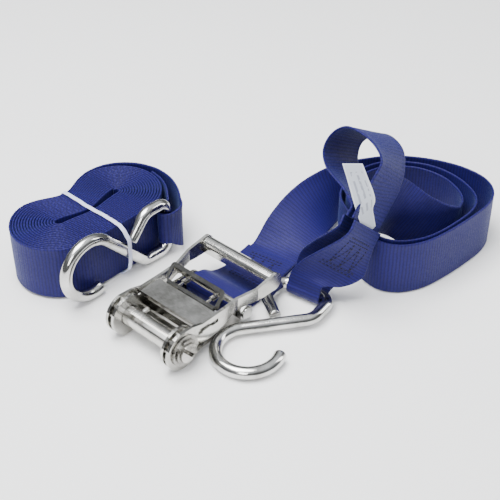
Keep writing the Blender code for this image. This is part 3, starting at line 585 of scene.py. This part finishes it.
def sewn_end_stations():
    """Down the back layer, gathered round the hook's eye and up the front layer."""
    w, back = WEB_WIDTH, STACK["back"]
    path = sewn_layer((back, back, back, back - FIT_GAP, 7.0, 5.5), (w, w, w, w, 36.0, 30.0),
                      (6, 5, 4, 3, 2, 1))
    across = -HOOK_C_B
    for turn in range(-35, -226, -19):
        a = math.radians(turn)
        here = FOLD_C + (HOOK_C_A * math.cos(a) + Vector((0.0, 0.0, 1.0)) * math.sin(a)) * FOLD_R
        path.append((*here, *across, GATHERED))
    path += sewn_layer((-7.0, -5.5, -2.5, -0.5, 0.0, 0.0), (GATHERED, 31.0, 37.0, w, w, w),
                       (1, 2, 3, 4, 5, 6))
    return path


def soft_loop_stations():
    """Out from the front of the sewn stack, over and back in behind the strap."""
    w, back = WEB_WIDTH, STACK["loop_back"]
    path = sewn_layer((STACK["loop_front"],) * 2, (w, w), (6, 7))
    for x, y, z, across in (
            (22.4, -84.9, 69.0, (0.76, 0.0, -0.65)), (28.2, -86.2, 78.4, (0.81, 0.02, -0.59)),
            (35.1, -85.0, 87.0, (0.80, 0.08, -0.59)), (40.4, -77.0, 94.8, (0.86, 0.0, -0.51)),
            (42.2, -65.8, 98.4, (0.88, -0.03, -0.47)), (41.1, -54.6, 97.0, (0.86, -0.03, -0.51)),
            (37.3, -47.6, 90.6, (0.86, -0.02, -0.51)), (32.4, -47.2, 81.8, (0.86, -0.07, -0.51)),
            (28.4, -53.0, 74.6, (0.85, -0.10, -0.52)), (25.0, -62.4, 70.0, (0.82, -0.10, -0.56)),
            (20.8, -73.0, 67.2, (0.78, -0.12, -0.61))):
        path.append((x, y, z, *across, w))
    return path + sewn_layer((back + 0.8, back), (w, w), (7, 6))


def label_stations():
    """Caught on the front of the sewn end, standing up and turning aside."""
    return [(x, y, z, *across, LABEL_WIDTH) for x, y, z, across in (
        (14.9, -85.75, 48.6, (0.9, 0.0, 0.42)), (12.4, -85.8, 56.5, (0.9, 0.0, 0.42)),
        (10.3, -85.85, 64.0, (0.9, 0.0, 0.42)),
        (7.4, -86.6, 73.0, (0.84, -0.4, 0.36)), (4.2, -86.0, 83.0, (0.62, -0.75, 0.22)),
        (1.2, -84.0, 93.5, (0.42, -0.9, 0.05)), (-1.6, -81.4, 104.5, (0.3, -0.95, -0.05)))]


def fixed_strap(blue, thread):
    """The short strap with its sewn hook end, soft loop and label, all on the base body."""
    strap = Band(smooth_path(short_strap_stations(), STEPS_MM), RIB / 4)
    end = Band(smooth_path(sewn_end_stations(), STEPS_MM), RIB / 4, skewed=True)
    loop = Band(smooth_path(soft_loop_stations(), STEPS_MM), RIB / 4)
    label = Band(smooth_path(label_stations(), STEPS_MM), STEPS_MM)
    pieces = {
        "short_strap": webbing("short_strap_webbing", strap, blue),
        "sewn_hook_end": webbing("hook_end_webbing", end, blue, gather=0.7),
        "soft_loop": webbing("soft_loop_webbing", loop, blue),
        "label_tag": webbing("label_cloth", label, label_material(), 0.3, 0.0, full=LABEL_WIDTH),
    }
    for node, obj in pieces.items():
        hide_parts(node)
        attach(obj, "base")

    top = WEB_THICK / 2 - 0.02
    near = end.length - CUT_END
    end_seams = box_stitch(end, near - BOX_LENGTH, near, -top)
    anchor_seams = box_stitch(strap, *ANCHOR_BOX, top)
    stitches = {
        "sewn_hook_end": sewing("hook_end_stitching", end_seams, thread),
        "short_strap": sewing("anchor_stitching", anchor_seams, thread),
    }
    for obj in stitches.values():
        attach(obj, "base")
    return pieces, stitches


def box_stitch(band, start, stop, lift):
    """Double rows across both ends and a zigzag in between, lifted to one side of the band."""
    seams = []
    for s in (start, start + DOUBLE_ROW, stop - DOUBLE_ROW, stop):
        seams.append((band, [(s, -SEAM_HALF), (s, SEAM_HALF)], lift))
    low, high = start + ZIGZAG_INSET, stop - ZIGZAG_INSET
    zigzag = []
    for k in range(ZIGZAG_STROKES + 1):
        v = -ZIGZAG_HALF + 2 * ZIGZAG_HALF * k / ZIGZAG_STROKES
        zigzag.append((low if k % 2 else high, v))
    seams.append((band, zigzag, lift))
    return seams


# ---------------------------------------------------------------- rolled strap


def squeezed(x, y):
    """The band draws the back of the roll in towards its front."""
    front, middle = ROLL_CENTRE[1] - ROLL_FRONT, ROLL_CENTRE[1]
    near = math.exp(-((x - BAND_X) / BAND_REACH) ** 2)
    close = min(max((y - middle) / 2.0, 0.0), 1.0) * BAND_CLOSE
    return x, front + (y - front) * (1.0 - BAND_PINCH * near) - close * near


def roll_stations():
    """Wound turns from the inside out: caps of growing radius joined by straight lengths."""
    cx, cy = ROLL_CENTRE
    caps, straights = 24, 24
    points = []
    for half in range(ROLL_TURNS * 2):
        side = 1 if half % 2 == 0 else -1
        for i in range(caps + 1):
            sweep = math.pi * i / caps
            r = ROLL_FIRST_R + ROLL_PITCH * (half + i / caps) / 2
            turn = side * math.pi / 2 - sweep
            points.append((cx + side * ROLL_HALF + r * math.cos(turn), cy + r * math.sin(turn)))
        last_x, last_y = points[-1]
        next_y = cy - side * (ROLL_FIRST_R + ROLL_PITCH * (half + 1) / 2)
        for k in range(1, straights):
            t = k / straights
            points.append((last_x - side * 2 * ROLL_HALF * t, last_y + (next_y - last_y) * t))
    return [squeezed(x, y) for x, y in points]


def tail_stations():
    """From the roll's last turn round to its front, folded through the hook's eye and back."""
    height, w = ROLL_Z, WEB_WIDTH
    down = (0.0, 0.0, -1.0)
    rows = [(x, y, height, *down, w) for x, y in (
        (-49.0, 107.1), (-41.0, 106.9), (-32.0, 104.2), (-23.5, 98.0), (-16.6, 88.6),
        (-12.8, 75.0), (-14.2, 61.0), (-19.2, 49.0), (-25.6, 39.6))]
    rows.append((FOLD_A.x + 8.0, FOLD_A.y - FOLD_R + 0.2, height + 0.8, *down, 32.0))
    for turn in range(-90, -271, -20):
        a = math.radians(turn)
        rows.append((FOLD_A.x + FOLD_R * math.cos(a), FOLD_A.y + FOLD_R * math.sin(a), FOLD_A.z,
                     *down, GATHERED))
    rows.append((FOLD_A.x + 7.0, FOLD_A.y + FOLD_R + 1.0, height + 0.8, *down, 32.0))
    rows += [(x, y, height, *down, w) for x, y in ((-25.4, 52.4), (-19.8, 63.0), (-17.4, 75.0))]
    return rows


def rolled_strap(blue):
    """The rolled strap with its tail, one band of webbing."""
    turns = [(x, y, ROLL_Z, 0.0, 0.0, -1.0, WEB_WIDTH) for x, y in roll_stations()]
    tail = smooth_path([turns[-1]] + tail_stations(), STEPS_MM)[1:]
    whole = Band(np.vstack([np.array(turns), tail]), RIB / 3)
    obj = webbing("rolled_webbing", whole, blue, gather=0.6)
    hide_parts("rolled_strap")
    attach(obj, "base")
    return obj


def rubber_band(rubber):
    """Flat band round the roll and its hook, a little wavy, with rounded edges."""
    back = squeezed(BAND_X, ROLL_CENTRE[1] + ROLL_FIRST_R + ROLL_PITCH * ROLL_TURNS)[1] + 1.6
    loop = [(48, 39.95), (60, 39.95), (72, 39.95), (84, 39.95), (back - 1.1, 39.95), (back, 39.0),
            (back, 30), (back, 20), (back, 10), (back, 1.4), (back - 1.1, 0.45),
            (84, 0.45), (72, 0.45), (60, 0.45), (49, 0.45), (43.8, 0.9), (37.0, 8.0),
            (35.0, 14), (34.8, 20), (34.8, 26), (35.2, 31.5), (39.0, 37.2), (43.2, 39.8)]
    closed = loop + loop[:1]
    dense = []
    for (y0, z0), (y1, z1) in zip(closed, closed[1:]):
        steps = max(1, round(math.hypot(y1 - y0, z1 - z0) / 2.0))
        dense += [(y0 + (y1 - y0) * k / steps, z0 + (z1 - z0) * k / steps) for k in range(steps)]
    profile = ((-1.5, 0.12), (-1.3, 0.33), (-0.7, 0.38), (0.7, 0.38), (1.3, 0.33), (1.5, 0.12),
               (1.5, -0.12), (1.3, -0.33), (0.0, -0.35), (-1.3, -0.33), (-1.5, -0.12))
    points, faces = [], []
    count, ring = len(dense), len(profile)
    for i, (y, z) in enumerate(dense):
        (yb, zb), (ya, za) = dense[i - 1], dense[(i + 1) % count]
        ahead = Vector((ya - yb, za - zb)).normalized()
        out = (-ahead.y, ahead.x)
        sway = 0.25 * math.sin(i * 0.37) + 0.12 * math.sin(i * 1.13 + 1.0)
        for x, n in profile:
            points.append((BAND_X + x + sway, y + out[0] * n, z + out[1] * n))
    for i in range(count):
        for k in range(ring):
            a, b, c = ring * i + k, ring * i + (k + 1) % ring, ring * ((i + 1) % count)
            faces.append((a, b, c + (k + 1) % ring, c + k))
    obj = mesh_object("band_rubber", (np.array(points) + LAYOUT_SHIFT) * MM, faces, rubber)
    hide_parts("rubber_band")
    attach(obj, "base")


# ---------------------------------------------------------------- hardware


def finish_hardware():
    """Polished steel on every CAD node, and rounded edges on the pressed plates."""
    plate = steel_material("plate_steel", (0.36, 0.35, 0.32), (0.66, 0.655, 0.63), 0.10, 0.24)
    grip = steel_material("grip_steel", (0.42, 0.41, 0.38), (0.72, 0.715, 0.69), 0.08, 0.18,
                          (9.0, 60.0, 60.0))
    shaft = steel_material("shaft_steel", (0.38, 0.37, 0.34), (0.70, 0.69, 0.66), 0.14, 0.28,
                           (9.0, 60.0, 60.0))
    wheel = steel_material("wheel_steel", (0.20, 0.195, 0.18), (0.55, 0.54, 0.51), 0.2, 0.36)
    spring = steel_material("spring_steel", (0.16, 0.155, 0.14), (0.46, 0.45, 0.43), 0.2, 0.34)
    bolt = steel_material("bolt_steel", (0.40, 0.40, 0.39), (0.74, 0.74, 0.73), 0.12, 0.25)
    hook = steel_material("hook_steel", (0.40, 0.395, 0.375), (0.72, 0.715, 0.70), 0.07, 0.17)
    finishes = {
        "base_frame": (plate, 0.22), "handle_frame": (plate, 0.22), "drive_pawl": (grip, 0.22),
        "lock_pawl": (plate, 0.2), "grip_bar": (grip, 0.5),
        "mandrel_half_upper": (shaft, 0.35), "mandrel_half_lower": (shaft, 0.35),
        "ratchet_wheel_left": (wheel, 0.15), "ratchet_wheel_right": (wheel, 0.15),
        "mandrel_washer_left": (wheel, 0.15), "mandrel_washer_right": (wheel, 0.15),
        "retaining_ring_left": (spring, 0.12), "retaining_ring_right": (spring, 0.12),
        "drive_spring_left": (spring, 0.0), "drive_spring_right": (spring, 0.0),
        "lock_spring_left": (spring, 0.0), "lock_spring_right": (spring, 0.0),
        "anchor_bolt": (bolt, 0.3), "anchor_nut": (bolt, 0.2), "anchor_spacer": (bolt, 0.2),
    }
    s_hook("short_hook_wire", "short_strap_hook", HOOK_C, HOOK_C_A, HOOK_C_B, hook)
    s_hook("rolled_hook_wire", "rolled_strap_hook", HOOK_A, HOOK_A_A, HOOK_A_B, hook)
    for node, (material, edge) in finishes.items():
        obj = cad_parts[node]
        for slot in obj.material_slots:
            slot.material = material
        obj.data.shade_smooth()
        obj.data.set_sharp_from_angle(angle=math.radians(35.0))
        if edge:
            bevel = obj.modifiers.new("rounded edges", "BEVEL")
            bevel.width = edge * MM
            bevel.segments = 2
            bevel.limit_method = "ANGLE"
            bevel.angle_limit = math.radians(40.0)
            bevel.harden_normals = False
            bevel.use_clamp_overlap = True


camera()
studio()
finish_hardware()
# the webbing's two blues: the painted shade of the rib valleys and the painted highlight of the crests
blue = webbing_material("royal_webbing", (0.003, 0.002, 0.036), (0.0105, 0.0075, 0.125))
straps, sewn = fixed_strap(blue, thread_material())
roll = rolled_strap(blue)
rubber_band(rubber_material())
